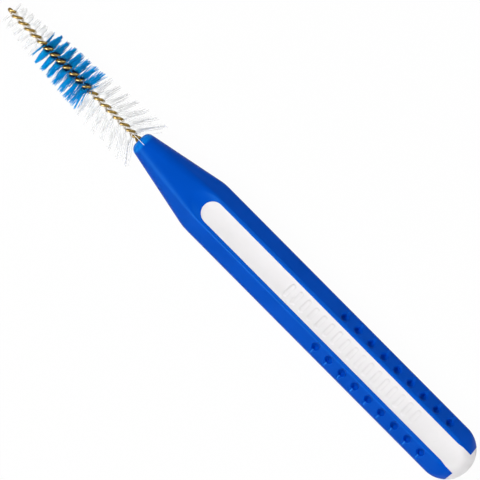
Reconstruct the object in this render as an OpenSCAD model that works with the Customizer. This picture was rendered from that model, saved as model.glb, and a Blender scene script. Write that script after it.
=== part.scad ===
// Interdental brush: a faceted two-shot handle with a tapered nose, and a twisted wire
// that clamps a helical fan of filaments in three bands.
// Lengths are in millimetres. The part lies on its back face, with the wire towards -X.

/* [Handle] */
// Length of the handle, from the mouth of its nose to its rounded end
handle_l = 51.3; // [46:0.1:60]
// Width and thickness of the handle, across its flat sides
handle_w = 6.6; // [6.5:0.1:8]
// Distance between the two ridges that border each long face
ridge_w = 3.4; // [3.2:0.1:3.7]
// Width of the narrow flat that runs along each ridge
ridge_land = 0.12; // [0.08:0.02:0.2]
// Depth of the hollow trough between the ridges
trough_depth = 0.38; // [0.25:0.01:0.5]

/* [Nose] */
// Length of the tapered nose
nose_l = 10.1; // [8:0.1:12]
// Diameter of the taper where it meets the mouth
mouth_d = 2.52; // [2.3:0.02:3]
// Radius of the rounded rim of the mouth
mouth_round = 0.85; // [0.3:0.05:0.9]

/* [Dimples] */
// Number of grip dimples in each row
dimple_count = 9; // [3:1:11]
// Spacing of the dimples along the handle
dimple_pitch = 2.04; // [1.6:0.02:2.2]
// Diameter of the pointed pin that forms a dimple
dimple_d = 1.1; // [0.8:0.02:1.2]
// Depth of a dimple's point under the facet, measured straight down
dimple_depth = 0.48; // [0.3:0.02:0.56]
// Distance from the middle of the handle to the points of the dimples
dimple_offset = 2.32; // [2.26:0.02:2.5]
// Fall of the groove that runs outwards from the point of a dimple, in degrees
dimple_fall = 18; // [5:1:22]
// Distance from the last dimple to the rounded end of the handle
dimple_setback = 5.2; // [4:0.1:7]

/* [White insert] */
// Width of the strip that shows in each trough
strip_w = 2.6; // [2.2:0.05:2.7]
// Distance from the mouth to the round front end of the strip
strip_start = 10.14; // [9.9:0.02:14]
// Width of the strip where it widens next to the rounded end
flare_w = 2.82; // [2.75:0.01:2.95]
// Distance from the rounded end to where the strip starts to widen
flare_l = 3.05; // [2.8:0.05:4]
// Length over which the strip widens
flare_taper_l = 0.95; // [0.3:0.05:1.2]
// Length of the white rounded end past the blue rails
cap_l = 1.04; // [0.6:0.02:1.3]
// Slant of the ends of the blue rails, in degrees
cap_slant = 6; // [0:1:20]

/* [Grip ribs] */
// Number of plain ribs across the strip of the front face
rib_count = 17; // [3:1:17]
// Spacing of the ribs
rib_pitch = 1.22; // [0.9:0.02:1.24]
// Distance from the mouth to the first rib
rib_start = 23.4; // [20:0.1:24]
// Length of a rib across the strip
rib_l = 1.7; // [1.2:0.05:2]
// Width of a rib along the strip
rib_w = 0.5; // [0.3:0.02:0.7]
// Height of a rib above the trough
rib_h = 0.1; // [0.05:0.01:0.15]

/* [Wire] */
// Length of the wire in front of the mouth
wire_l = 20.45; // [18:0.05:24]
// Outer diameter of the twisted pair
wire_d = 0.8; // [0.78:0.01:0.9]
// Diameter of each of its two strands
strand_d = 0.34; // [0.3:0.01:0.35]
// Length along the wire of one full turn of the twist
twist_pitch = 1.95; // [1.7:0.05:2.4]
// Length of the wire that is held inside the nose
root_l = 6; // [4:0.1:7]
// Clearance between the wire and its bore, all round
wire_clear = 0.02; // [0.01:0.005:0.05]

/* [Bristles] */
// Spacing of the filaments along the wire
filament_gap = 0.096; // [0.09:0.001:0.12]
// Thickness of a filament along the wire
filament_w = 0.056; // [0.04:0.002:0.06]
// Length of the white band at the tip
tip_band_l = 5.4; // [4:0.1:6]
// Length of the blue band in the middle
middle_band_l = 7.4; // [6:0.1:8]
// Bare wire between the last filament and the mouth
bare_l = 0.8; // [0.6:0.05:1.5]
// Diameter over the bristles at the tip of the wire
tip_start_d = 3.0; // [2.4:0.05:3.6]
// Diameter over the bristles at the end of the tip band
tip_end_d = 3.85; // [3:0.05:4.4]
// Diameter over the bristles at the start of the middle band
middle_start_d = 4.0; // [3:0.05:4.6]
// Diameter over the bristles at the end of the middle band
middle_end_d = 5.1; // [4:0.05:5.6]
// Diameter over the bristles at the start of the base band
base_start_d = 5.35; // [4.4:0.05:5.8]
// Diameter over the bristles at the handle
base_end_d = 6.4; // [5.2:0.05:6.45]
// Lean of the sideways filaments towards the handle where the base band starts, in degrees
lean_start = 9; // [0:1:15]
// Lean of the sideways filaments towards the handle next to the mouth, in degrees
lean_end = 36; // [20:1:38]

/* [Hidden] */

$fn = 96;

blue = "#0250b4";
white = "#f2f2f0";
gold = "#b58f3e";
filament_white = "#e9e9ec";
filament_blue = "#0a72cc";

// Overrun of every cut past the surface that it leaves
over = 0.5;

// Section of the handle: flat sides, and facets at 45 degrees that start at the ridges
half_w = handle_w / 2;
facet_apothem = (ridge_w / 2 + half_w) / sqrt(2);
corner_r = norm([ridge_w / 2, half_w]);

// Trough: an arc through the inner edges of the two ridge lands
trough_chord = ridge_w / 2 - ridge_land;
trough_r = (pow(trough_chord, 2) + pow(trough_depth, 2)) / (2 * trough_depth);

// Rounded rim of the mouth: an arc that touches the front plane and the nose's cone
nose_cone_angle = atan((corner_r - mouth_d / 2) / nose_l);
rim_center = mouth_d / 2 + mouth_round * tan(nose_cone_angle) - mouth_round / cos(nose_cone_angle);
rim_touch = [
    rim_center + mouth_round * cos(nose_cone_angle),
    mouth_round - mouth_round * sin(nose_cone_angle)
];

// Domed end: a ball a little wider than the section, so that it only trims the end
dome_share = 1.01;
dome_r = dome_share * corner_r;

// Dimple: its blunt point lies below the facet, and its cut runs up past the ridge
dimple_r = dimple_d / 2;
dimple_tip_share = 0.1;
dimple_tip_r = dimple_tip_share * dimple_r;
// Width of the groove at the facet, as a share of the pin's
groove_share = 0.94;
dimple_point_z = ridge_w / 2 + half_w - dimple_offset - dimple_depth;
dimple_cut_h = dimple_depth + dimple_r + over;

// Wire: helix of the strands' centre lines, from the fold at the tip to the root
strand_r = strand_d / 2;
coil_r = wire_d / 2 - strand_r;
fold_x = -wire_l + wire_d / 2;
// Length over which the twist builds up next to the fold
twist_ease_l = strand_d;
// Twist angle at the mouth, in degrees, as the photograph shows it
twist_phase = 6;
rings_per_turn = 10;
strand_sides = 8;
fold_steps = 5;
root_rings = ceil((root_l - fold_x) / twist_pitch * rings_per_turn);

// Core of the bristles: a thin bar that fills part of the slot between the strands
slot_w = wire_d - 2 * strand_d;
core_fill_share = 0.6;
core_t = slot_w * core_fill_share;
core_h = strand_d * 0.6;
filament_tip_share = 0.6;
// Radius at which the filaments of the base band bend over
knee_r = wire_d * 0.6;
// Spread of the lengths of the filaments, as a share of their reach
length_spread_share = 0.04;
// Clearance at each end of a band's core
band_clear = 0.02;
tip_band_x = fold_x + band_clear;
middle_band_x = -wire_l + tip_band_l;
base_band_x = middle_band_x + middle_band_l;
last_filament_x = -bare_l;

// Place of the model: on its back face, centred over its own box
place = [(wire_l - handle_l) / 2, 0, half_w];

// Outline of the handle along its axis: the tapered nose, then straight sides
module long_outline(half_body) {
    half_mouth = mouth_d / 2;
    polygon([
        [0, -half_mouth],
        [nose_l, -half_body],
        [handle_l + over, -half_body],
        [handle_l + over, half_body],
        [nose_l, half_body],
        [0, half_mouth]
    ]);
}

// The outline as a slab, turned about the axis of the handle
module outline_slab(angle, half_body) {
    rotate([angle, 0, 0])
        linear_extrude(height = 2 * (corner_r + over), center = true)
            long_outline(half_body);
}

// Turned form that rounds the nose and the rim of its mouth
module turned_form() {
    reach = corner_r + over;
    rotate([0, 90, 0])
        rotate_extrude() {
            polygon([
                [0, 0],
                [rim_center, 0],
                [rim_center, mouth_round],
                rim_touch,
                [corner_r, nose_l],
                [reach, nose_l],
                [reach, handle_l + over],
                [0, handle_l + over]
            ]);
            intersection() {
                translate([rim_center, mouth_round])
                    circle(r = mouth_round);
                square([corner_r, nose_l]);
            }
        }
}

// Rounded end of the handle: the faceted section swept about an upright axis, so that the
// facets flow round the end
module rounded_end() {
    body_end = handle_l - half_w;
    translate([body_end, 0, 0])
        rotate_extrude()
            polygon([
                [0, -half_w],
                [ridge_w / 2, -half_w],
                [half_w, -ridge_w / 2],
                [half_w, ridge_w / 2],
                [ridge_w / 2, half_w],
                [0, half_w]
            ]);
    translate([0, -corner_r, -corner_r])
        cube([body_end, 2 * corner_r, 2 * corner_r]);
}

// Ball that domes the rounded end, and the space that it leaves alone
module dome() {
    dome_x = handle_l - dome_r;
    translate([dome_x, 0, 0])
        sphere(r = dome_r);
    translate([0, -corner_r, -corner_r])
        cube([dome_x, 2 * corner_r, 2 * corner_r]);
}

// Whole handle before it is parted into its two plastics
module handle_form() {
    intersection() {
        turned_form();
        outline_slab(0, half_w);
        outline_slab(90, half_w);
        outline_slab(45, facet_apothem);
        outline_slab(-45, facet_apothem);
        rounded_end();
        dome();
    }
}

// Hollow trough along one long face, less deep by rise
module trough(rise = 0) {
    translate([0, 0, half_w - trough_depth + trough_r])
        rotate([0, 90, 0])
            cylinder(h = handle_l + over, r = trough_r - rise);
}

// Both troughs
module troughs() {
    trough();
    mirror([0, 0, 1])
        trough();
}

// Upright bars with round ends, where the grip ribs stand
module rib_bars() {
    bar_h = corner_r + over;
    end_y = (rib_l - rib_w) / 2;
    for (i = [0 : rib_count - 1])
        translate([rib_start + i * rib_pitch, 0, 0]) {
            translate([-rib_w / 2, -end_y, 0])
                cube([rib_w, 2 * end_y, bar_h]);
            for (side = [-1, 1])
                translate([0, side * end_y, 0])
                    cylinder(h = bar_h, d = rib_w);
        }
}

// Trough of the front face in the white insert, with the grip ribs left standing in it
module ribbed_trough() {
    trough(rib_h);
    difference() {
        trough();
        rib_bars();
    }
}

// Plan of the white insert behind its round front: strip, and the rounded end of the handle
module insert_plan() {
    reach = corner_r + over;
    strip_h = strip_w / 2;
    flare_h = flare_w / 2;
    front_x = strip_start + strip_h;
    flare_x = handle_l - flare_l;
    cap_x = handle_l - cap_l;
    cap_back = (reach - flare_h) * tan(cap_slant);
    half = [
        [front_x, strip_h],
        [flare_x, strip_h],
        [flare_x + flare_taper_l, flare_h],
        [cap_x, flare_h],
        [cap_x - cap_back, reach],
        [handle_l + over, reach]
    ];
    polygon([each half, for (i = [len(half) - 1 : -1 : 0]) [half[i][0], -half[i][1]]]);
}

// Space that the white insert takes up, through the whole thickness
module insert_slab() {
    slab_h = 2 * (corner_r + over);
    linear_extrude(height = slab_h, center = true)
        insert_plan();
    translate([strip_start + strip_w / 2, 0, 0])
        cylinder(h = slab_h, d = strip_w, center = true);
}

// Pointed pin of a dimple, with its blunt point at the origin
module dimple_pin() {
    rotate_extrude()
        polygon([
            [0, 0],
            [dimple_tip_r, 0],
            [dimple_r, dimple_depth],
            [dimple_r, dimple_cut_h],
            [0, dimple_cut_h]
        ]);
}

// Groove of a dimple: a V that falls outwards from the point and runs out through the facet
module dimple_groove() {
    groove_l = half_w - dimple_offset + over;
    open = groove_share * dimple_cut_h * dimple_r / dimple_depth / cos(dimple_fall);
    intersection() {
        rotate([90 - dimple_fall, 0, 0])
            linear_extrude(height = 2 * groove_l, center = true)
                polygon([[0, 0], [open, dimple_cut_h], [-open, dimple_cut_h]]);
        translate([-open, 0, -groove_l])
            cube([2 * open, groove_l, groove_l + dimple_cut_h]);
    }
}

// Row of dimples on one facet
module dimple_row() {
    for (i = [0 : dimple_count - 1])
        translate([handle_l - dimple_setback - i * dimple_pitch, dimple_offset, dimple_point_z]) {
            dimple_pin();
            dimple_groove();
        }
}

// Rows of dimples on the four facets
module dimples() {
    for (side = [0, 1], face = [0, 1])
        mirror([0, side, 0])
            mirror([0, 0, face])
                dimple_row();
}

// Blind bore that holds the root of the wire
module wire_bore() {
    translate([-over, 0, 0])
        rotate([0, 90, 0])
            cylinder(h = over + root_l + strand_r + wire_clear, d = wire_d + 2 * wire_clear);
}

// Blue shot of the handle: nose and two rails in one piece
module handle_body() {
    color(blue)
        translate(place)
            difference() {
                handle_form();
                insert_slab();
                troughs();
                dimples();
                wire_bore();
            }
}

// White shot of the handle: strip on both long faces and the rounded end
module handle_insert() {
    color(white)
        translate(place)
            difference() {
                intersection() {
                    handle_form();
                    insert_slab();
                }
                ribbed_trough();
                mirror([0, 0, 1])
                    trough();
            }
}

// Turns made by the twist between the fold and a place x on the axis
function turned_l(s) = s < twist_ease_l ? s * s / (2 * twist_ease_l) : s - twist_ease_l / 2;
function turn_rate(s) = min(s / twist_ease_l, 1);
function twist_at(x) = twist_phase + (turned_l(-fold_x) - turned_l(x - fold_x)) / twist_pitch * 360;

// Unit vectors across the axis at an angle, and a quarter turn ahead of it
function radial(a) = [0, cos(a), sin(a)];
function ahead(a) = [0, -sin(a), cos(a)];
function unit(v) = v / norm(v);

// Circle of points round a centre line: p is the point, t the tangent, n the inward normal
function strand_ring(p, t, n) = [
    for (k = [0 : strand_sides - 1])
        p + strand_r * (cos(k * 360 / strand_sides) * n + sin(k * 360 / strand_sides) * cross(t, n))
];

// Ring on one helical strand; way is 1 towards the root and -1 towards the fold
function helix_ring(x, side, way) =
    let (
        a = twist_at(x),
        slope = -side * coil_r * 2 * PI / twist_pitch * turn_rate(x - fold_x),
        t = way * unit([1, 0, 0] + slope * ahead(a))
    )
    strand_ring([x, 0, 0] + side * coil_r * radial(a), t, -side * radial(a));

// Ring on the fold that joins the two strands at the tip
function fold_ring(b) =
    let (r = radial(twist_at(fold_x)))
    strand_ring(
        [fold_x - coil_r * sin(b), 0, 0] + coil_r * cos(b) * r,
        [-cos(b), 0, 0] - sin(b) * r,
        [sin(b), 0, 0] - cos(b) * r
    );

// Triangles between rings of m points, and fans that close the two ends
function tube_faces(count, m) = [
    for (i = [0 : count - 2], k = [0 : m - 1])
        let (a = i * m + k, b = i * m + (k + 1) % m)
        each [[a, b + m, b], [a, a + m, b + m]],
    for (k = [1 : m - 2])
        each [[0, k, k + 1], [(count - 1) * m, (count - 1) * m + k + 1, (count - 1) * m + k]]
];

// Wire: one length, folded at the tip and twisted into a pair
module twisted_wire() {
    step = (root_l - fold_x) / root_rings;
    rings = [
        for (i = [0 : root_rings - 1])
            helix_ring(root_l - i * step, 1, -1),
        for (i = [0 : fold_steps])
            fold_ring(180 * i / fold_steps),
        for (i = [1 : root_rings])
            helix_ring(fold_x + i * step, -1, 1)
    ];
    color(gold)
        translate(place)
            polyhedron(
                points = [for (r = rings, p = r) p],
                faces = tube_faces(len(rings), strand_sides)
            );
}

// Four corners of a rectangle across the axis, out along e and w, at a place x
function core_ring(x, a) =
    let (e = ahead(a) * core_h / 2, w = radial(a) * core_t / 2)
    [[x, 0, 0] + e + w, [x, 0, 0] + e - w, [x, 0, 0] - e - w, [x, 0, 0] - e + w];

// Four corners of a filament's section at a reach r on one side of the core
function filament_ring(x, a, side, r, size) =
    let (
        c = [x, 0, 0] + side * r * ahead(a),
        u = [filament_w / 2 * size, 0, 0],
        w = side * radial(a) * core_t / 2 * size
    )
    [c - u + w, c - u - w, c + u - w, c + u + w];

// Points of one filament: its core, then the sections out to its two tips
function filament_points(x, a, r, lean, knees) =
    let (tip_x = x + (r - (knees ? knee_r : core_h / 2)) * tan(lean))
    concat(
        core_ring(x - filament_w / 2, a),
        core_ring(x + filament_w / 2, a),
        [
            for (side = [1, -1])
                each concat(
                    knees ? filament_ring(x, a, side, knee_r, 1) : [],
                    filament_ring(tip_x, a, side, r, filament_tip_share)
                )
        ]
    );

// Triangles of a four-sided panel
function panel(a, b, c, d) = [[a, c, b], [a, d, c]];

// Triangles of one side of a filament: root is its base on the core, start its first section
function filament_faces(root, start, sections) =
    let (loops = [root, for (j = [0 : sections - 1]) [for (k = [0 : 3]) start + 4 * j + k]])
    [
        for (j = [0 : sections - 1], k = [0 : 3])
            each panel(loops[j][k], loops[j][(k + 1) % 4], loops[j + 1][(k + 1) % 4], loops[j + 1][k]),
        each panel(loops[sections][0], loops[sections][1], loops[sections][2], loops[sections][3])
    ];

// Band of filaments between two places, on one core that twists with the wire.
// Each filament passes through the core and stands out on both sides of it. The sideways ones
// lean most, and the upright ones not at all, so that none lies on the nose.
module bristle_band(from_x, to_x, start_d, end_d, from_lean, to_lean, knees) {
    count = floor((to_x - from_x) / filament_gap);
    step = (to_x - from_x) / count;
    sections = knees ? 2 : 1;
    size = 8 + 8 * sections;
    spread = rands(-length_spread_share, 0, count, count);
    function along(i) = (i + 0.5) / count;
    function reach(i) = (start_d + (end_d - start_d) * along(i)) / 2 * (1 + spread[i]);
    function lean(i, a) = (from_lean + (to_lean - from_lean) * along(i)) * abs(sin(a));
    points = concat(
        core_ring(from_x, twist_at(from_x)),
        [
            for (i = [0 : count - 1])
                let (x = from_x + step * (i + 0.5), a = twist_at(x))
                each filament_points(x, a, reach(i), lean(i, a), knees)
        ],
        core_ring(to_x, twist_at(to_x))
    );
    last = 4 + count * size;
    faces = [
        each panel(3, 2, 1, 0),
        for (i = [0 : count])
            let (a = i == 0 ? 0 : 4 + (i - 1) * size + 4, b = i == count ? last : 4 + i * size)
            for (k = [0 : 3])
                each panel(a + k, a + (k + 1) % 4, b + (k + 1) % 4, b + k),
        for (i = [0 : count - 1])
            let (a = 4 + i * size, b = a + 4, tips = a + 8)
            each [
                each panel(a + 1, a + 2, b + 2, b + 1),
                each panel(a + 3, a, b, b + 3),
                each filament_faces([a, a + 1, b + 1, b], tips, sections),
                each filament_faces([a + 2, a + 3, b + 3, b + 2], tips + 4 * sections, sections)
            ],
        each panel(last, last + 1, last + 2, last + 3)
    ];
    translate(place)
        polyhedron(points = points, faces = faces);
}

// White filaments at the tip of the wire
module tip_bristles() {
    color(filament_white)
        bristle_band(tip_band_x, middle_band_x - band_clear, tip_start_d, tip_end_d, 0, 0, false);
}

// Blue filaments in the middle of the brush
module middle_bristles() {
    color(filament_blue)
        bristle_band(middle_band_x, base_band_x - band_clear, middle_start_d, middle_end_d, 0, lean_start, false);
}

// White filaments next to the handle, which lean back over its nose
module base_bristles() {
    color(filament_white)
        bristle_band(base_band_x, last_filament_x, base_start_d, base_end_d, lean_start, lean_end, true);
}

handle_body();
handle_insert();
twisted_wire();
tip_bristles();
middle_bristles();
base_bristles();
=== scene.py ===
"""Interdental brush: a faceted two-shot handle, a twisted wire and three bands of filaments.

The brush lies on its back face with the wire towards -X. Numbers are in millimetres and are
multiplied by MM, and every mesh is made in metres in the frame of the solids.
"""
import math
from functools import partial

import bmesh
import bpy
import numpy as np
from bpy.props import FloatProperty, FloatVectorProperty, IntProperty, PointerProperty
from bpy.types import Operator, Panel, PropertyGroup
from mathutils import Matrix, Vector


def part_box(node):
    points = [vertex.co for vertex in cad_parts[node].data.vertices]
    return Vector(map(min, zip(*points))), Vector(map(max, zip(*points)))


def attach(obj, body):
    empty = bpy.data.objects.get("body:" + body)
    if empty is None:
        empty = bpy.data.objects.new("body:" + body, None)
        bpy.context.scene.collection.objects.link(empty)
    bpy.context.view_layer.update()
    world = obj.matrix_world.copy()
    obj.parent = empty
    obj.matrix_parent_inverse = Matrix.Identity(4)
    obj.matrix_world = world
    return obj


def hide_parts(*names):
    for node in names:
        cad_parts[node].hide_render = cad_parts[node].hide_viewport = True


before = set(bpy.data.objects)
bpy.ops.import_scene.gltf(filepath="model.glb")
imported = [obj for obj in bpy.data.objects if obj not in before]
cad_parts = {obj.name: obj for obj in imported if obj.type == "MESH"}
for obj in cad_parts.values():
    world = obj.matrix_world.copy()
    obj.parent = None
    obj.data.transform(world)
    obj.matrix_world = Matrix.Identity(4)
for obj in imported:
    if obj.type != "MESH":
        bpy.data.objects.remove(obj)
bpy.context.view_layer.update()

bl_info = {
    "name": "Interdental brush",
    "version": (1, 0, 0),
    "blender": (4, 5, 0),
    "location": "View3D > Sidebar > Brush",
    "description": "Dresses the solids of an interdental brush",
    "category": "Add Mesh",
}

MM = 0.001
BODY_LOW, BODY_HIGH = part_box("handle_body")
MOUTH_X = BODY_LOW.x
HANDLE_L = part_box("handle_insert")[1].x - MOUTH_X
HALF_W = (BODY_HIGH.y - BODY_LOW.y) / 2
AXIS_Z = (BODY_HIGH.z + BODY_LOW.z) / 2
TIP_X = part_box("twisted_wire")[0].x

# Clearance of a cutter past the surface that it leaves
OVER = 0.5 * MM
# A noise hardly leaves this range
NOISE_LOW, NOISE_HIGH = 0.3, 0.7

# Photograph: pixels across, its middle in pixels along and across the brush from the wire's
# tip end, the turn of the brush in it, the lean of the camera towards -Y in degrees, and the
# size of one pixel on the brush
PHOTO_W = 480
PHOTO_ALONG, PHOTO_ACROSS = 339.4, 1.05
PHOTO_MOUTH = 197.3
PHOTO_TURN = 45.21
PHOTO_LEAN = 1.0
PIXEL = 0.11 * MM


def linear(srgb):
    """Linear RGBA from an sRGB hex colour."""
    parts = [int(srgb[i:i + 2], 16) / 255 for i in (1, 3, 5)]
    return [c / 12.92 if c <= 0.04045 else ((c + 0.055) / 1.055) ** 2.4 for c in parts] + [1.0]


def length(name, description, mm):
    """Property for a length, with its default in millimetres."""
    return FloatProperty(
        name=name, description=description, default=mm * MM, min=0.0, precision=6, unit="LENGTH"
    )


def number(name, description, default):
    """Property for a count."""
    return IntProperty(name=name, description=description, default=default, min=1)


def brightness(name, description, default):
    """Property for the brightness that a lamp gives."""
    return FloatProperty(name=name, description=description, default=default, min=0.0)


def angle(name, description, degrees):
    """Property for an angle, with its default in degrees."""
    return FloatProperty(
        name=name, description=description, default=math.radians(degrees), subtype="ANGLE"
    )


def colour(name, description, srgb):
    """Property for a colour, with its default as an sRGB hex value."""
    return FloatVectorProperty(
        name=name, description=description, default=linear(srgb), size=4, min=0.0, max=1.0,
        subtype="COLOR",
    )


class HandleSizes(PropertyGroup):
    """Sizes of the handle's two plastics."""

    ridge_w: length("Ridge spacing", "Distance between the two ridges of a long face", 3.4)
    edge_round: length("Edge rounding", "Radius of the moulded edges along the handle", 0.55)
    trough_chord: length("Trough half width", "Half the width of the hollow trough", 1.58)
    trough_depth: length("Trough depth", "Depth of the hollow trough between the ridges", 0.38)
    nose_l: length("Nose length", "Length of the tapered nose", 10.1)
    mouth_d: length("Mouth diameter", "Diameter of the nose where the wire enters it", 2.52)
    mouth_round: length("Mouth rounding", "Radius of the rounded rim of the mouth", 0.85)
    bore_d: length("Bore diameter", "Diameter of the bore that holds the wire", 0.84)
    bore_l: length("Bore depth", "Depth of the bore that holds the wire", 6.19)
    dimple_count: number("Dimples in a row", "Number of grip dimples in each row", 9)
    dimple_pitch: length("Dimple spacing", "Spacing of the dimples along the handle", 2.04)
    dimple_d: length("Dimple diameter", "Diameter of the pointed pin that forms a dimple", 0.98)
    dimple_depth: length("Dimple depth", "Depth of a dimple's point under the facet", 0.96)
    dimple_offset: length("Dimple offset", "Distance of the points from the middle", 2.41)
    dimple_reach: length("Dimple reach", "Length of the groove outwards from a point", 0.7)
    dimple_fall: angle("Dimple fall", "Fall of the groove that runs outwards from a point", 25)
    dimple_setback: length("Dimple setback", "Distance from the last dimple to the end", 5.2)
    strip_w: length("Strip width", "Width of the white strip", 2.6)
    strip_start: length("Strip start", "Distance from the mouth to the strip's front", 10.14)
    flare_w: length("Flare width", "Width of the strip next to the rounded end", 2.82)
    flare_l: length("Flare start", "Distance from the end to where the strip widens", 3.05)
    flare_taper_l: length("Flare taper", "Length over which the strip widens", 0.95)
    cap_l: length("Cap length", "Length of the white end past the rails", 1.04)
    cap_slant: angle("Rail end slant", "Slant of the ends of the rails", 6)
    seam: length("Seam", "Hairline between the two plastics", 0.012)
    rib_count: number("Grip ribs", "Number of plain grip ribs on the strip", 17)
    rib_pitch: length("Rib spacing", "Spacing of the grip ribs", 1.22)
    rib_start: length("First rib", "Distance from the mouth to the first grip rib", 23.4)
    rib_l: length("Rib length", "Length of a grip rib across the strip", 1.7)
    rib_w: length("Rib width", "Width of a grip rib along the strip", 0.5)
    rib_h: length("Rib height", "Height of a grip rib above the strip", 0.1)


class WireSizes(PropertyGroup):
    """Sizes of the twisted wire."""

    wire_d: length("Wire diameter", "Outer diameter of the twisted pair", 0.8)
    strand_d: length("Strand diameter", "Diameter of each strand", 0.34)
    twist_pitch: length("Twist pitch", "Length of one full turn of the twist", 1.95)
    twist_ease: length("Twist ease", "Length over which the twist builds up at the tip", 0.34)
    twist_phase: angle("Twist angle", "Twist angle of the pair at the mouth", 6)
    root_l: length("Root length", "Length of the wire held in the nose", 6.0)


class BristleSizes(PropertyGroup):
    """Sizes of the filaments."""

    filament_d: length("Filament diameter", "Diameter of a filament", 0.078)
    tip_count: number("Tip filaments", "Filaments in the tip band", 95)
    middle_count: number("Middle filaments", "Filaments in the middle band", 380)
    base_count: number("Base filaments", "Filaments in the base band", 128)
    tip_end: length("Tip band end", "Distance from the mouth to the end of the tip band", 14.9)
    middle_end: length("Middle band end", "Distance from the mouth to its last filament", 7.65)
    base_end: length("Base band end", "Distance from the mouth to its last filament", 0.8)


class Finishes(PropertyGroup):
    """Colours of the materials."""

    blue_plastic: colour("Blue plastic", "Body of the handle", "#004bbc")
    # Painted light: the paler blue of the rim of the mouth stands in for light through its thin
    # wall
    painted_rim_light: colour("Thin blue plastic", "Rim of the mouth, which lets light through", "#0678dc")
    white_plastic: colour("White plastic", "Strip and rounded end", "#e8e6e7")
    coated_wire: colour("Coated wire", "Coating of the wire", "#93752a")
    white_filament: colour("White filament", "Nylon of the tip and base bands", "#feffff")
    blue_filament: colour("Blue filament", "Nylon of the middle band", "#00b8ff")


class StageLight(PropertyGroup):
    """Light on the stage, as the brightness that each lamp gives a white surface facing it."""

    key: brightness("Key light", "Large lamp overhead", 0.99)
    sheen: brightness("Sheen light", "Low lamp for gloss", 5.5)
    end: brightness("End light", "Low lamp on the end", 0.43)
    sky: brightness("Sky", "Even light of the sky", 0.05)
    mirrored: brightness("Mirrored sky", "Brightness of the sky in gloss", 0.25)


def feed(made, inputs):
    """Sets a node's inputs, by name or in order, to links or values."""
    for key, value in inputs.items() if isinstance(inputs, dict) else enumerate(inputs):
        if isinstance(value, bpy.types.Node):
            value = value.outputs[0]
        if isinstance(value, bpy.types.NodeSocket):
            made.id_data.links.new(value, made.inputs[key])
        elif value is not None:
            made.inputs[key].default_value = value


def add(tree, kind, inputs=(), **settings):
    """Adds a node with its settings and inputs. A kind in capitals is an operation of Math."""
    if kind.isupper():
        kind, settings["operation"] = "ShaderNodeMath", kind
    made = tree.nodes.new(kind)
    for name, value in settings.items():
        setattr(made, name, value)
    feed(made, inputs)
    return made


def geometry_tree(name, inputs):
    """New geometry tree with named inputs. Returns it, a call that adds a node to it, and its
    inputs' sockets by name."""
    tree = bpy.data.node_groups.new(name, "GeometryNodeTree")
    kinds = {int: "Int", float: "Float", bpy.types.Material: "Material"}
    sockets = [("Geometry", "Geometry", "INPUT"), ("Geometry", "Geometry", "OUTPUT")]
    sockets += [(label, kinds[type(value)], "INPUT") for label, value in inputs.items()]
    for label, kind, way in sockets:
        tree.interface.new_socket(label, in_out=way, socket_type="NodeSocket" + kind)
    return tree, partial(add, tree), tree.nodes.new("NodeGroupInput").outputs


def close_tree(put, geometry, material):
    """Ends a tree in smooth shading, Realize Instances and Set Material."""
    smooth = put("GeometryNodeSetShadeSmooth", [geometry])
    real = put("GeometryNodeRealizeInstances", [smooth])
    put("NodeGroupOutput", [put("GeometryNodeSetMaterial", [real, None, material])])


def run_tree(obj, tree, values):
    """Puts a tree on an object as a modifier, with its inputs set by their identifiers."""
    modifier = obj.modifiers.new(tree.name, "NODES")
    modifier.node_group = tree
    for item in tree.interface.items_tree:
        if item.in_out == "INPUT" and item.name in values:
            modifier[item.identifier] = values[item.name]


def make_plain(obj):
    """Turns an object's modifiers into its own plain mesh."""
    depsgraph = bpy.context.evaluated_depsgraph_get()
    depsgraph.update()
    mesh = bpy.data.meshes.new_from_object(
        obj.evaluated_get(depsgraph), preserve_all_data_layers=True, depsgraph=depsgraph
    )
    obj.modifiers.clear()
    obj.data = mesh
    mesh.name = obj.name
    if not mesh.polygons:
        raise RuntimeError(f"{obj.name} came out empty")


def new_object(name, data=None):
    """New object at the origin, in the scene, of a mesh, a lamp or a camera."""
    obj = bpy.data.objects.new(name, data or bpy.data.meshes.new(name))
    bpy.context.scene.collection.objects.link(obj)
    return obj


def closed_mesh(name, points, faces):
    """Mesh of a closed form, with its doubles merged and its faces outwards."""
    mesh = bpy.data.meshes.new(name)
    mesh.from_pydata(points, [], faces)
    form = bmesh.new()
    form.from_mesh(mesh)
    bmesh.ops.remove_doubles(form, verts=form.verts, dist=1e-4 * MM)
    bmesh.ops.recalc_face_normals(form, faces=form.faces)
    form.to_mesh(mesh)
    form.free()
    return mesh


def new_material(name, sockets):
    """New material with values on its shader's own sockets. Returns it, a call that adds a node
    to it, and its shader."""
    made = bpy.data.materials.new(name)
    made.use_nodes = True
    shader = made.node_tree.nodes["Principled BSDF"]
    feed(shader, sockets)
    return made, partial(add, made.node_tree), shader


def scaled(base, share):
    """Colour with its brightness times a share."""
    return [c * share for c in base[:3]] + [1.0]


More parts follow.
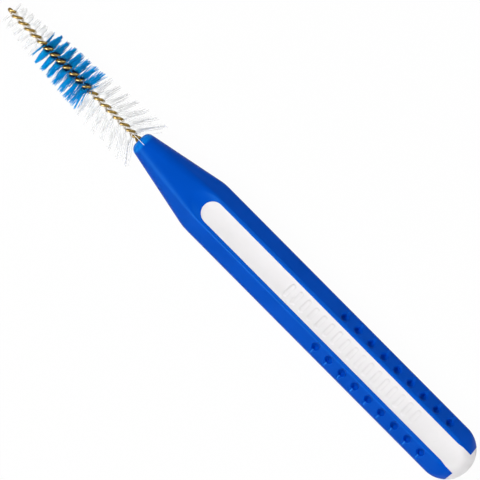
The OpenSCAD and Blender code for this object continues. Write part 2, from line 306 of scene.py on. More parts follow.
def moulded_plastic(name, base, depth, sockets, rim=None):
    """Polypropylene from a spark-eroded mould: a fine even grain that softens the highlights,
    slow waves where the wall has sunk a little, and cloudy shifts of colour and gloss."""
    made, put, shader = new_material(name, sockets)
    place = put("ShaderNodeTexCoord").outputs["Object"]
    # Grain 0.14 mm across, drawn coarser than the real 0.05 mm so that it shows, waves of
    # 2.2 mm and clouds of 5 mm
    grain, waves, clouds = (
        put("ShaderNodeTexNoise", {"Vector": place, "Scale": 1 / (size * MM), "Detail": detail})
        for size, detail in ((0.14, 2.0), (2.2, 1.0), (5.0, 4.0))
    )
    sunk = put("ShaderNodeBump", {"Strength": 0.35, "Distance": 0.02 * MM, "Height": waves})
    bump = put("ShaderNodeBump", {
        "Strength": 0.5, "Distance": 0.006 * MM, "Height": grain, "Normal": sunk
    })
    # The polished grooves of the dimples mirror more than the grain does
    polish = put("ShaderNodeAttribute", attribute_name="polish").outputs["Fac"]
    level = sockets["Specular IOR Level"]
    shine = put("ShaderNodeMapRange", [polish, 0.0, 1.0, level, level + 0.4])
    gloss = put("ShaderNodeMapRange", [clouds, NOISE_LOW, NOISE_HIGH, 0.34, 0.46])
    spread = put("ShaderNodeMapRange", [clouds, NOISE_LOW, NOISE_HIGH, 0.0, 1.0])
    tint = put(
        "ShaderNodeMix", {0: spread, 6: scaled(base, 1 - depth), 7: scaled(base, 1 + depth)},
        data_type="RGBA", clamp_result=True,
    )
    if rim:
        # Painted light: a paler blue on the rim of the mouth stands in for the light that passes
        # through its thin wall, up to where the wall gets thick
        thin, edge, blur = rim
        along = put("ShaderNodeSeparateXYZ", [place]).outputs["X"]
        near = put("ShaderNodeMapRange", [along, edge, edge + blur, 1.0, 0.0])
        tint = put("ShaderNodeMix", {0: near, 6: tint.outputs[2], 7: thin}, data_type="RGBA")
    feed(shader, {
        "Normal": bump, "Specular IOR Level": shine, "Roughness": gloss,
        "Base Color": tint.outputs[2],
    })
    return made


def drawn_wire(name, base):
    """Coated spring wire drawn through a die: a satin coat that the metal gleams through, with
    fine streaks along each strand."""
    made, put, shader = new_material(name, {"Metallic": 0.3, "Specular IOR Level": 0.35})
    # 26 streaks go round a strand of 1.07 mm, so each is 0.04 mm wide, and 1.2 mm long
    around, along = (
        put("MULTIPLY", [put("ShaderNodeAttribute", attribute_name=way).outputs["Fac"], share])
        for way, share in (("around", 26.0), ("along", 1 / (1.2 * MM)))
    )
    place = put("ShaderNodeCombineXYZ", [around, along])
    streaks = put("ShaderNodeTexNoise", {"Vector": place, "Scale": 1.0, "Detail": 2.0})
    gloss = put("ShaderNodeMapRange", [streaks, NOISE_LOW, NOISE_HIGH, 0.28, 0.4])
    bump = put("ShaderNodeBump", {"Strength": 0.4, "Distance": 0.004 * MM, "Height": streaks})
    tint = put("ShaderNodeMix", {0: streaks, 6: scaled(base, 0.5), 7: base}, data_type="RGBA")
    feed(shader, {"Roughness": gloss, "Normal": bump, "Base Color": tint.outputs[2]})
    return made


def nylon_filament(name, base, depth, sockets, root=None, painted_root_glow=None):
    """Extruded nylon monofilament: satin, a little see-through, and paler from strand to strand.
    A dyed one is painted dark at its root, as painted shade where the packed filaments shut out the
    light. A clear one gets a painted glow at its root, which keeps it pale in the shade between the
    strands of the wire."""
    made, put, shader = new_material(name, sockets)
    shade, near = (
        put("ShaderNodeAttribute", attribute_name=mark).outputs["Fac"] for mark in ("shade", "root")
    )
    tint = put("ShaderNodeMix", {0: shade, 6: scaled(base, 1 - depth), 7: base}, data_type="RGBA")
    # Painted glow: emission at the root lifts a clear filament out of the shade between the strands
    if painted_root_glow:
        power = put("ShaderNodeMapRange", [near, 0.0, 1.0, 0.0, painted_root_glow])
        feed(shader, {"Emission Strength": power})
    # Painted shade: a dark colour at the root of a dyed filament, near the wire
    if root:
        tint = put("ShaderNodeMix", {0: near, 6: tint.outputs[2], 7: root}, data_type="RGBA")
    feed(shader, {"Base Color": tint.outputs[2]})
    return made


def smooth_min(a, b, k):
    """Smaller of two lengths, eased over k where they are close."""
    h = np.maximum(k - np.abs(a - b), 0.0) / k
    return np.minimum(a, b) - h ** 3 * k / 6


def quarter(half, apothem, corner, counts):
    """Quarter of a rounded octagon as (y, z) points, from its top middle to its side middle."""
    flat, arc, facet, side = counts
    core = half - corner
    start = math.sqrt(2) * (apothem - corner) - core
    over = np.linspace(0, math.pi / 2, flat, endpoint=False)
    points = [(start * math.sin(t), half) for t in over]
    turns = np.radians(np.linspace(90, 45, arc + 1))
    points += [(start + corner * math.cos(t), core + corner * math.sin(t)) for t in turns]
    low = turns - math.radians(45)
    after = [(core + corner * math.cos(t), start + corner * math.sin(t)) for t in low]
    steps = np.linspace(0, 1, facet + 1)[1:-1, None]
    points += list((1 - steps) * points[-1] + steps * after[0])
    points += after
    points += [(half, z) for z in np.linspace(start, 0, side + 1)[1:]]
    return np.array(points)


def half_section(half, apothem, corner, counts):
    """Half of a rounded octagon, from its top middle round one side to its bottom middle."""
    upper = quarter(half, apothem, corner, counts)
    return np.vstack([upper, upper[-2::-1] * (1, -1)])


def ring(section, x, turn=0.0):
    """Whole ring from half a section. turn swings both halves round the upright axis at x."""
    across = section[:, 0]
    right = np.column_stack([x + across * math.sin(turn), across * math.cos(turn), section[:, 1]])
    return np.vstack([right, right[-2:0:-1] * (1, -1, 1)])


def closed_skin(name, rings):
    """Mesh over rings of equal size, closed at both ends, placed in the frame of the solids."""
    count, size = len(rings), len(rings[0])
    points = np.vstack(rings) + (MOUTH_X, 0, AXIS_Z)
    a = np.arange(size)
    b = np.roll(a, -1)
    quads = np.vstack([
        np.column_stack([i * size + a, (i + 1) * size + a, (i + 1) * size + b, i * size + b])
        for i in range(count - 1)
    ])
    return closed_mesh(name, points.tolist(), quads.tolist() + [a[::-1].tolist()])


def form_rings(s, counts, places, turns):
    """Rings of the whole handle before its trough and dimples: bore, rim, nose, body and end."""
    ridge = s.ridge_w / 2
    full = (ridge + HALF_W) / math.sqrt(2)
    mouth = s.mouth_d / 2
    ease = 0.2 * MM

    def section(x):
        t = x / s.nose_l
        half = smooth_min(mouth + (HALF_W - mouth) * t, HALF_W, ease)
        apothem = smooth_min(mouth + (full - mouth) * t, full, ease)
        corner = s.edge_round + (half - s.edge_round) * max(1 - t, 0)
        return half_section(half, apothem, corner, counts)

    # Rim of the mouth: an arc from the front plane to the nose's taper
    taper = math.atan((math.hypot(ridge, HALF_W) - mouth) / s.nose_l)
    centre = mouth + s.mouth_round * (math.tan(taper) - 1 / math.cos(taper))
    last = math.pi / 2 - taper
    touch_x = s.mouth_round * (1 - math.sin(taper))
    touch = section(touch_x)
    touch_r = centre + s.mouth_round * math.cos(taper)
    bore = s.bore_d / 2
    chamfer, rim_steps = 0.07 * MM, 12
    front = [(s.bore_l, bore), (chamfer, bore), (0, bore + chamfer), (0, (bore + centre) / 2)]
    front += [
        (s.mouth_round * (1 - math.cos(a)), centre + s.mouth_round * math.sin(a))
        for a in np.linspace(0, last, rim_steps)
    ]
    rings = [ring(touch * (r / touch_r), x) for x, r in front]
    rings += [ring(section(x), x) for x in places if x > touch_x]

    # Rounded end: the section swept round an upright axis, and domed by a ball a little larger
    last_section = half_section(HALF_W, full, s.edge_round, counts)
    swings = np.radians(np.linspace(0, 90, turns))
    rings += [ring(last_section, HANDLE_L - HALF_W, turn) for turn in swings]
    ball, dome_ease = 1.01 * math.hypot(ridge, HALF_W), 0.12 * MM
    centre = np.array([HANDLE_L - ball, 0, 0])
    domed = []
    for points in rings:
        away = points - centre
        far = np.linalg.norm(away, axis=1)
        kept = np.where(away[:, 0] > 0, smooth_min(far, ball, dome_ease) / far, 1.0)
        domed.append(centre + away * kept[:, None])
    return domed


def insert_cutter(s, seam):
    """Prism of the white insert: its strip with a round front, and the rounded end."""
    reach = HALF_W + 2 * OVER
    strip, flare = s.strip_w / 2 + seam, s.flare_w / 2 + seam
    front = s.strip_start + s.strip_w / 2
    flare_x, cap_x = HANDLE_L - s.flare_l, HANDLE_L - s.cap_l - seam
    flare_steps, arc_steps = 11, 49
    half = [
        (flare_x + s.flare_taper_l * t, strip + (flare - strip) * t * t * (3 - 2 * t))
        for t in np.linspace(0, 1, flare_steps)
    ]
    half += [
        (cap_x, flare),
        (cap_x - (reach - flare) * math.tan(s.cap_slant), reach),
        (HANDLE_L + OVER, reach),
    ]
    arc = [
        (front + strip * math.cos(t), strip * math.sin(t))
        for t in np.radians(np.linspace(270, 90, arc_steps))
    ]
    plan = arc + half + [(x, -y) for x, y in reversed(half)]
    points = [(MOUTH_X + x, y, AXIS_Z + z) for z in (-reach, reach) for x, y in plan]
    count = len(plan)
    sides = [(i, (i + 1) % count, (i + 1) % count + count, i + count) for i in range(count)]
    ends = [list(range(count)), list(range(2 * count - 1, count - 1, -1))]
    return new_object("insert_cutter", closed_mesh("insert_cutter", points, sides + ends))


def relief_tree(values):
    """Tree that presses the trough and the dimples into both long faces, and a witness mark into
    the front one, where it raises the grip ribs. It moves points up or down only."""
    tree, put, i = geometry_tree("handle_relief", values)
    place = put("ShaderNodeSeparateXYZ", [put("GeometryNodeInputPosition")]).outputs
    x = place["X"]
    rise = put("SUBTRACT", [place["Z"], i["Axis Height"]])
    way = put("SIGN", [rise])
    high = put("ABSOLUTE", [rise])
    wide = put("ABSOLUTE", [place["Y"]])

    # Trough: a cylinder along the handle
    square = put("MULTIPLY", [i["Trough Radius"], i["Trough Radius"]])
    left = put("SUBTRACT", [square, put("MULTIPLY", [wide, wide])])
    drop = put("SQRT", [put("MAXIMUM", [left, 0.0])])
    trough = put("SUBTRACT", [i["Trough Centre"], drop])
    # The ridges are softer towards the rounded end, where the trough runs out
    soft = put(
        "ShaderNodeMapRange",
        [x, i["Run Out Start"], i["Run Out End"], i["Ridge Round"], i["Run Out Round"]],
        interpolation_type="SMOOTHSTEP",
    )
    shape = put("SMOOTH_MIN", [high, trough, soft])

    def nearest(first, pitch, count):
        """Distance along the handle to the nearest of a row of places."""
        start = put("SUBTRACT", [x, first])
        step = put("ROUND", [put("DIVIDE", [start, pitch])])
        held = put("ShaderNodeClamp", [step, 0.0, put("SUBTRACT", [count, 1.0])])
        return put("SUBTRACT", [start, put("MULTIPLY", [held, pitch])])

    def reach(a, b, foot):
        """Length of a flat vector, with a foot rounded to this radius."""
        total = put("MULTIPLY_ADD", [b, b, put("MULTIPLY", [a, a])])
        return put("SQRT", [put("ADD", [total, foot * foot])])

    def pad(off, radius, level):
        """This level where the distance off is under a radius, with a soft edge."""
        outer = put("ADD", [radius, i["Relief Edge"]])
        inner = put("SUBTRACT", [radius, i["Relief Edge"]])
        return put(
            "ShaderNodeMapRange", [off, outer, inner, 0.0, level], interpolation_type="SMOOTHSTEP"
        )

    # Dimples: a deep cone, and a groove that falls outwards from it through the facet
    point_foot, groove_foot, groove_blend = 0.06 * MM, 0.1 * MM, 0.04 * MM
    along = nearest(i["First Dimple"], i["Dimple Pitch"], i["Dimple Count"])
    aside = put("SUBTRACT", [wide, i["Dimple Offset"]])
    off = reach(along, aside, point_foot)
    cone = put("MULTIPLY_ADD", [off, i["Cone Slope"], i["Point Height"]])
    past = put("MAXIMUM", [put("SUBTRACT", [off, i["Pin Radius"]]), 0.0])
    cone = put("MULTIPLY_ADD", [past, i["Wall Slope"], cone])
    shape = put("SMOOTH_MIN", [shape, cone, i["Rim Round"]])
    run = put("ShaderNodeClamp", [aside, i["Groove Start"], i["Groove End"]])
    # The ends of the groove are this much steeper than its sides
    steeper = 3.0
    beyond = put("MULTIPLY", [put("SUBTRACT", [aside, run]), steeper])
    off = reach(along, beyond, groove_foot)
    groove = put("MULTIPLY_ADD", [run, i["Groove Fall"], i["Groove Height"]])
    groove = put("MULTIPLY_ADD", [off, i["Groove Slope"], groove])
    # The groove comes from a polished pin, and shines from just outside its edge
    outside, inside = -0.02 * MM, 0.04 * MM
    sunk = put("SUBTRACT", [shape, groove])
    polish = put("ShaderNodeMapRange", [sunk, outside, inside, 0.0, 1.0])
    shape = put("SMOOTH_MIN", [shape, groove, groove_blend])

    # Grip ribs: pills across the strip. Witness mark of a mould pin: a shallow disc
    along = nearest(i["First Rib"], i["Rib Pitch"], i["Rib Count"])
    aside = put("MAXIMUM", [put("SUBTRACT", [wide, i["Rib Reach"]]), 0.0])
    ribs = pad(reach(along, aside, 0.0), i["Rib Radius"], i["Rib Height"])
    apart = put("SUBTRACT", [x, i["Witness Place"]])
    disc = pad(reach(apart, wide, 0.0), i["Witness Radius"], i["Witness Depth"])
    front = put("GREATER_THAN", [rise, 0.0])
    shape = put("MULTIPLY_ADD", [put("SUBTRACT", [ribs, disc]), front, shape])

    new_z = put("MULTIPLY_ADD", [shape, way, i["Axis Height"]])
    new_place = put("ShaderNodeCombineXYZ", [x, place["Y"], new_z])
    moved = put("GeometryNodeSetPosition", [i["Geometry"], None, new_place])
    marked = put("GeometryNodeStoreNamedAttribute", [moved, None, "polish", polish])
    close_tree(put, marked, i["Material"])
    return tree


def handle_piece(name, node, material, counts, places, turns, operation, seam):
    """One plastic of the handle: the whole form with its relief, cut or kept by the insert.
    counts has the points on the flat, arc, facet and side of a quarter of a ring, and turns the
    rings round the end."""
    s = bpy.context.scene.brush_handle
    chord, depth = s.trough_chord, s.trough_depth
    trough_r = (chord * chord + depth * depth) / (2 * depth)
    # Depth of a dimple's groove at the dimple's reach, before its foot is rounded
    groove_depth = 0.16 * MM
    over_dimple = s.ridge_w / 2 + HALF_W - s.dimple_offset
    fall = math.tan(s.dimple_fall)
    last_dimple = MOUTH_X + HANDLE_L - s.dimple_setback
    values = {
        "Axis Height": AXIS_Z,
        "Trough Radius": trough_r, "Trough Centre": HALF_W - depth + trough_r,
        "Ridge Round": 0.12 * MM, "Run Out Round": 0.8 * MM,
        "Run Out Start": MOUTH_X + HANDLE_L - HALF_W,
        "Run Out End": MOUTH_X + HANDLE_L - 1.2 * MM,
        "Dimple Count": s.dimple_count, "Dimple Pitch": s.dimple_pitch,
        "First Dimple": last_dimple - (s.dimple_count - 1) * s.dimple_pitch,
        "Dimple Offset": s.dimple_offset,
        "Point Height": over_dimple - s.dimple_depth,
        "Pin Radius": s.dimple_d / 2,
        "Cone Slope": s.dimple_depth / (s.dimple_d / 2),
        "Wall Slope": 5.0, "Groove Slope": 1.15,
        "Groove Start": 0.1 * MM, "Groove End": s.dimple_reach,
        "Groove Fall": -fall,
        "Groove Height": over_dimple - s.dimple_reach * (1 - fall) - groove_depth,
        "Rim Round": 0.12 * MM,
        "Rib Count": s.rib_count, "Rib Pitch": s.rib_pitch,
        "First Rib": MOUTH_X + s.rib_start,
        "Rib Reach": (s.rib_l - s.rib_w) / 2,
        "Rib Radius": s.rib_w / 2, "Rib Height": s.rib_h,
        "Relief Edge": 0.1 * MM,
        "Witness Place": MOUTH_X + 45.73 * MM,
        "Witness Radius": 0.77 * MM, "Witness Depth": 0.032 * MM,
        "Material": material,
    }
    obj = new_object(name, closed_skin(name, form_rings(s, counts, places, turns)))
    run_tree(obj, relief_tree(values), values)
    make_plain(obj)
    cutter = insert_cutter(s, seam)
    cut = obj.modifiers.new("cut", "BOOLEAN")
    cut.object, cut.operation, cut.solver = cutter, operation, "MANIFOLD"
    make_plain(obj)
    bpy.data.objects.remove(cutter)
    obj.data.shade_smooth()
    obj.data.set_sharp_from_angle(angle=math.radians(32))
    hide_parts(node)
    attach(obj, "root")


def spaced(*spans):
    """Places along the handle in metres, from spans of (start, end, step) in millimetres."""
    return MM * np.concatenate([
        np.linspace(start, end, max(round((end - start) / step), 1), endpoint=False)
        for start, end, step in spans
    ])


class BRUSH_OT_handle_body(Operator):
    """Build the blue shot of the handle: its nose, bore and two rails with their dimples"""

    bl_idname = "brush.handle_body"
    bl_label = "Handle body"

    def execute(self, context):
        s = context.scene.brush_handle
        colours = context.scene.brush_finish
        finish = moulded_plastic(
            "blue_moulded_polypropylene", colours.blue_plastic, 0.05,
            {"IOR": 1.49, "Specular IOR Level": 0.07, "Specular Tint": linear("#40c0ff")},
            # Painted light on the rim of the mouth, fading out behind it
            (colours.painted_rim_light, MOUTH_X + 0.64 * MM, 0.3 * MM),
        )
        # Rings close together only at the front of the strip and over the dimples
        fine, coarse, margin = 0.055, 0.2, 0.14
        last = (HANDLE_L - s.dimple_setback) / MM
        first = last - (s.dimple_count - 1) * s.dimple_pitch / MM
        gap, half = s.dimple_pitch / MM, s.dimple_d / MM / 2 + margin
        dimples = [first + k * gap for k in range(s.dimple_count)]
        ends = [place - half for place in dimples[1:]] + [(HANDLE_L - HALF_W) / MM]
        spans = [(0, 7.6, 0.3), (7.6, 11.2, 0.1), (11.2, first - half, 0.9)]
        for place, end in zip(dimples, ends):
            spans += [(place - half, place + half, fine), (place + half, end, coarse)]
        handle_piece(
            "blue_shot", "handle_body", finish, (12, 8, 26, 2), spaced(*spans),
            47, "DIFFERENCE", s.seam,
        )
        return {"FINISHED"}


class BRUSH_OT_handle_insert(Operator):
    """Build the white shot of the handle: the strip with its grip ribs, and the rounded end"""

    bl_idname = "brush.handle_insert"
    bl_label = "Handle insert"

    def execute(self, context):
        s = context.scene.brush_handle
        finish = moulded_plastic(
            "white_moulded_polypropylene", context.scene.brush_finish.white_plastic, 0.012,
            {"IOR": 1.49, "Specular IOR Level": 0.07, "Subsurface Weight": 0.1,
             "Subsurface Radius": (1.0, 0.95, 0.9), "Subsurface Scale": 0.3 * MM},
        )
        # Rings close together only at the front of the strip, the ribs and the witness mark
        margin = 0.5
        start = s.rib_start / MM - margin
        end = start + (s.rib_count - 1) * s.rib_pitch / MM + 2 * margin
        spans = [
            (0, 9, 1.0), (9, 12, 0.12), (12, start, 0.6), (start, end, 0.06), (end, 44.7, 0.3),
            (44.7, 46.8, 0.07), (46.8, (HANDLE_L - HALF_W) / MM, 0.15),
        ]
        handle_piece(
            "white_shot", "handle_insert", finish, (26, 4, 12, 4), spaced(*spans),
            61, "INTERSECT", 0.0,
        )
        return {"FINISHED"}


def twist_angle(put, i, x):
    """Twist of the pair at a place x from the mouth: it builds up next to the fold, then runs
    left-handed at an even pitch."""
    ahead = put("SUBTRACT", [x, i["Fold Place"]])
    short = put("MAXIMUM", [put("SUBTRACT", [i["Twist Ease"], ahead]), 0.0])
    twice = put("MULTIPLY", [i["Twist Ease"], 2.0])
    lag = put("DIVIDE", [put("MULTIPLY", [short, short]), twice])
    turned = put("DIVIDE", [put("ADD", [x, lag]), i["Twist Pitch"]])
    return put("MULTIPLY_ADD", [turned, -math.tau, i["Twist Phase"]])


def twist_values(w):
    """Inputs that the wire and the filaments share."""
    return {
        "Axis Height": AXIS_Z,
        "Mouth Place": MOUTH_X,
        "Fold Place": TIP_X + w.wire_d / 2 - MOUTH_X,
        "Twist Pitch": w.twist_pitch,
        "Twist Ease": w.twist_ease,
        "Twist Phase": w.twist_phase,
    }


def wire_tree(values):
    """Tree of the wire: one length that comes up one side, folds at the tip and goes back."""
    tree, put, i = geometry_tree("twisted_pair", values)
    line = put("GeometryNodeCurvePrimitiveLine")
    line = put("GeometryNodeResampleCurve", {"Curve": line, "Count": i["Points"]})
    share = put("GeometryNodeSplineParameter").outputs["Factor"]
    quarter_turn = put("MULTIPLY", [i["Coil Radius"], math.pi / 2])
    straight = put("SUBTRACT", [i["Root Place"], i["Fold Place"]])
    one_side = put("ADD", [straight, quarter_turn])
    centred = put("MULTIPLY_ADD", [share, 2.0, -1.0])
    path = put("MULTIPLY", [centred, one_side])
    swing = put("DIVIDE", [path, i["Coil Radius"]])
    swing = put("ShaderNodeClamp", [swing, -math.pi / 2, math.pi / 2])
    out = put("MULTIPLY", [put("SINE", [swing]), i["Coil Radius"]])
    nose = put("MULTIPLY", [put("COSINE", [swing]), i["Coil Radius"]])
    far = put("ABSOLUTE", [path])
    along = put("MAXIMUM", [put("SUBTRACT", [far, quarter_turn]), 0.0])
    x = put("ADD", [i["Fold Place"], along])
    turn = twist_angle(put, i, x)
    y = put("MULTIPLY", [out, put("COSINE", [turn])])
    z = put("MULTIPLY_ADD", [out, put("SINE", [turn]), i["Axis Height"]])
    back = put("SUBTRACT", [x, nose])
    place = put("ShaderNodeCombineXYZ", [put("ADD", [back, i["Mouth Place"]]), y, z])
    wire = put("GeometryNodeSetPosition", [line, None, place])
    wire = put("GeometryNodeStoreNamedAttribute", [wire, None, "along", path])
    profile = put(
        "GeometryNodeCurvePrimitiveCircle",
        {"Resolution": i["Sides"], "Radius": i["Strand Radius"]},
    )
    share = put("DIVIDE", [put("GeometryNodeInputIndex"), i["Sides"]])
    profile = put("GeometryNodeStoreNamedAttribute", [profile, None, "around", share])
    tube = put(
        "GeometryNodeCurveToMesh", {"Curve": wire, "Profile Curve": profile, "Fill Caps": True}
    )
    close_tree(put, tube, i["Material"])
    return tree


class BRUSH_OT_wire(Operator):
    """Build the coated wire, folded at the tip and twisted into a pair"""

    bl_idname = "brush.wire"
    bl_label = "Twisted wire"

    def execute(self, context):
        w = context.scene.brush_wire
        values = twist_values(w) | {
            "Root Place": w.root_l,
            "Coil Radius": (w.wire_d - w.strand_d) / 2,
            "Strand Radius": w.strand_d / 2,
            "Points": 700,
            "Sides": 16,
            "Material": drawn_wire("drawn_coated_wire", context.scene.brush_finish.coated_wire),
        }
        obj = new_object("wire_pair")
        run_tree(obj, wire_tree(values), values)
        make_plain(obj)
        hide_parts("twisted_wire")
        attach(obj, "root")
        return {"FINISHED"}


def band_tree(values):
    """Tree of one band of filaments. Each filament is held between the two strands, stands out
    on both sides of the wire at its twist angle, and is trimmed to the band's taper."""
    tree, put, i = geometry_tree("filament_band", values)
    strands = put("MULTIPLY", [i["Filaments"], 2.0])
    total = put("MULTIPLY", [strands, i["Samples"]])
    points = put("GeometryNodePoints", {"Count": total})
    index = put("GeometryNodeInputIndex")
    strand = put("FLOOR", [put("DIVIDE", [index, i["Samples"]])])
    sample = put("MODULO", [index, i["Samples"]])
    t = put("DIVIDE", [sample, put("SUBTRACT", [i["Samples"], 1.0])])
    filament = put("FLOOR", [put("DIVIDE", [strand, 2.0])])
    side = put("MODULO", [strand, 2.0])

    def chance(who, seed):
        """Three random numbers from -1 to 1 for a filament or a strand."""
        made = put(
            "FunctionNodeRandomValue",
            {0: (-1, -1, -1), 1: (1, 1, 1), 7: who, 8: put("ADD", [i["Seed"], seed])},
            data_type="FLOAT_VECTOR",
        )
        return put("ShaderNodeSeparateXYZ", [made]).outputs

    held, trim, bend = chance(filament, 0.0), chance(strand, 1.0), chance(strand, 2.0)
    # Each filament has a random place in its own slot along the band
    slot = put("MULTIPLY_ADD", [held[0], 0.5, put("ADD", [filament, 0.5])])
    share = put("DIVIDE", [slot, i["Filaments"]])

    def between(name):
        """Value that changes evenly from the start of the band to its end."""
        return put("ShaderNodeMix", [share, None, i[f"Start {name}"], i[f"End {name}"]])

    # Disorder, and its shares that swing a strand round the wire and lean it along the wire
    wild, swerve_share, stray_share = between("Disorder"), 0.5, 0.4
    x = between("Place")
    turn = put("MULTIPLY_ADD", [side, math.pi, twist_angle(put, i, x)])
    turn = put("ADD", [turn, math.pi / 2])
    double = put("SINE", [put("MULTIPLY", [turn, 2.0])])
    bunch = put("MULTIPLY", [i["Bunch"], -0.5])
    turn = put("MULTIPLY_ADD", [double, bunch, turn])
    astray = put("MULTIPLY", [bend[0], wild])
    t2 = put("MULTIPLY", [t, t])
    swerve = put("MULTIPLY", [astray, t2])
    turn = put("MULTIPLY_ADD", [swerve, swerve_share, turn])
    cosine = put("COSINE", [turn])

    # Reach of the strand from the axis, more on one side where the brush isn't quite round
    skewed = put("MULTIPLY_ADD", [cosine, between("Skew"), 1.0])
    reach = put("MULTIPLY", [skewed, between("Reach")])
    uneven = put("MULTIPLY_ADD", [trim[0], i["Uneven"], 1.0])
    reach = put("MINIMUM", [put("MULTIPLY", [reach, uneven]), i["Most Reach"]])
    out = put("MULTIPLY", [put("SUBTRACT", [reach, i["Root Radius"]]), t])
    r = put("ADD", [out, i["Root Radius"]])

    # Lean towards the handle, gathering of the tips into tufts, and stray bends
    stray = put("MULTIPLY", [bend[1], wild])
    level = put("MAXIMUM", [put("ABSOLUTE", [cosine]), i["Upright Lean"]])
    lean = put("MULTIPLY", [between("Lean"), level])
    lean = put("MULTIPLY_ADD", [stray, stray_share, lean])
    shift = put("MULTIPLY", [out, put("TANGENT", [lean])])
    pull = put("MULTIPLY", [i["Gather"], i["Twist Pitch"]])
    pull = put("MULTIPLY", [pull, 1 / (2 * math.tau)])
    pull = put("MULTIPLY", [pull, put("MULTIPLY", [double, t])])
    shift = put("ADD", [shift, pull])
    curl = put("MULTIPLY_ADD", [put("MULTIPLY", [bend[2], t2]), i["Curl"], shift])
    x = put("ADD", [put("ADD", [x, curl]), i["Mouth Place"]])
    # The filaments lie some layers deep between the two strands
    layer = put("MULTIPLY", [held[1], i["Spread"]])
    sine = put("SINE", [turn])
    y = put("MULTIPLY", [r, cosine])
    y = put("SUBTRACT", [y, put("MULTIPLY", [layer, sine])])
    z = put("MULTIPLY_ADD", [r, sine, i["Axis Height"]])
    z = put("MULTIPLY_ADD", [layer, cosine, z])
    placed = put("GeometryNodeSetPosition", [points, None, put("ShaderNodeCombineXYZ", [x, y, z])])
    shade = put("MULTIPLY_ADD", [trim[1], 0.5, 0.5])
    # Root mark, for painted shade on the dyed filaments and a painted glow on the clear ones: it
    # fades out from just inside the wire's outside to nearly twice as far
    near, far = 0.36 * MM, 0.72 * MM
    root = put("ShaderNodeMapRange", [r, near, far, 1.0, 0.0], interpolation_type="SMOOTHSTEP")
    for mark, value in (("shade", shade), ("root", root)):
        placed = put("GeometryNodeStoreNamedAttribute", [placed, None, mark, value])
    curves = put("GeometryNodePointsToCurves", [placed, strand])

    # Blunt cut ends, rounded a little
    share = put("GeometryNodeSplineParameter").outputs["Factor"]
    end_power, end_loss = 9.0, 0.4
    thin = put("MULTIPLY_ADD", [put("POWER", [share, end_power]), -end_loss, 1.0])
    profile = put(
        "GeometryNodeCurvePrimitiveCircle",
        {"Resolution": i["Sides"], "Radius": i["Filament Radius"]},
    )
    tubes = put(
        "GeometryNodeCurveToMesh",
        {"Curve": curves, "Profile Curve": profile, "Scale": thin, "Fill Caps": True},
    )
    close_tree(put, tubes, i["Material"])
    return tree


def with_ends(values):
    """Inputs of a band, with each pair split into its Start and End."""
    split = {}
    for name, value in values.items():
        if isinstance(value, tuple):
            split[f"Start {name}"], split[f"End {name}"] = value
        else:
            split[name] = value
    return split


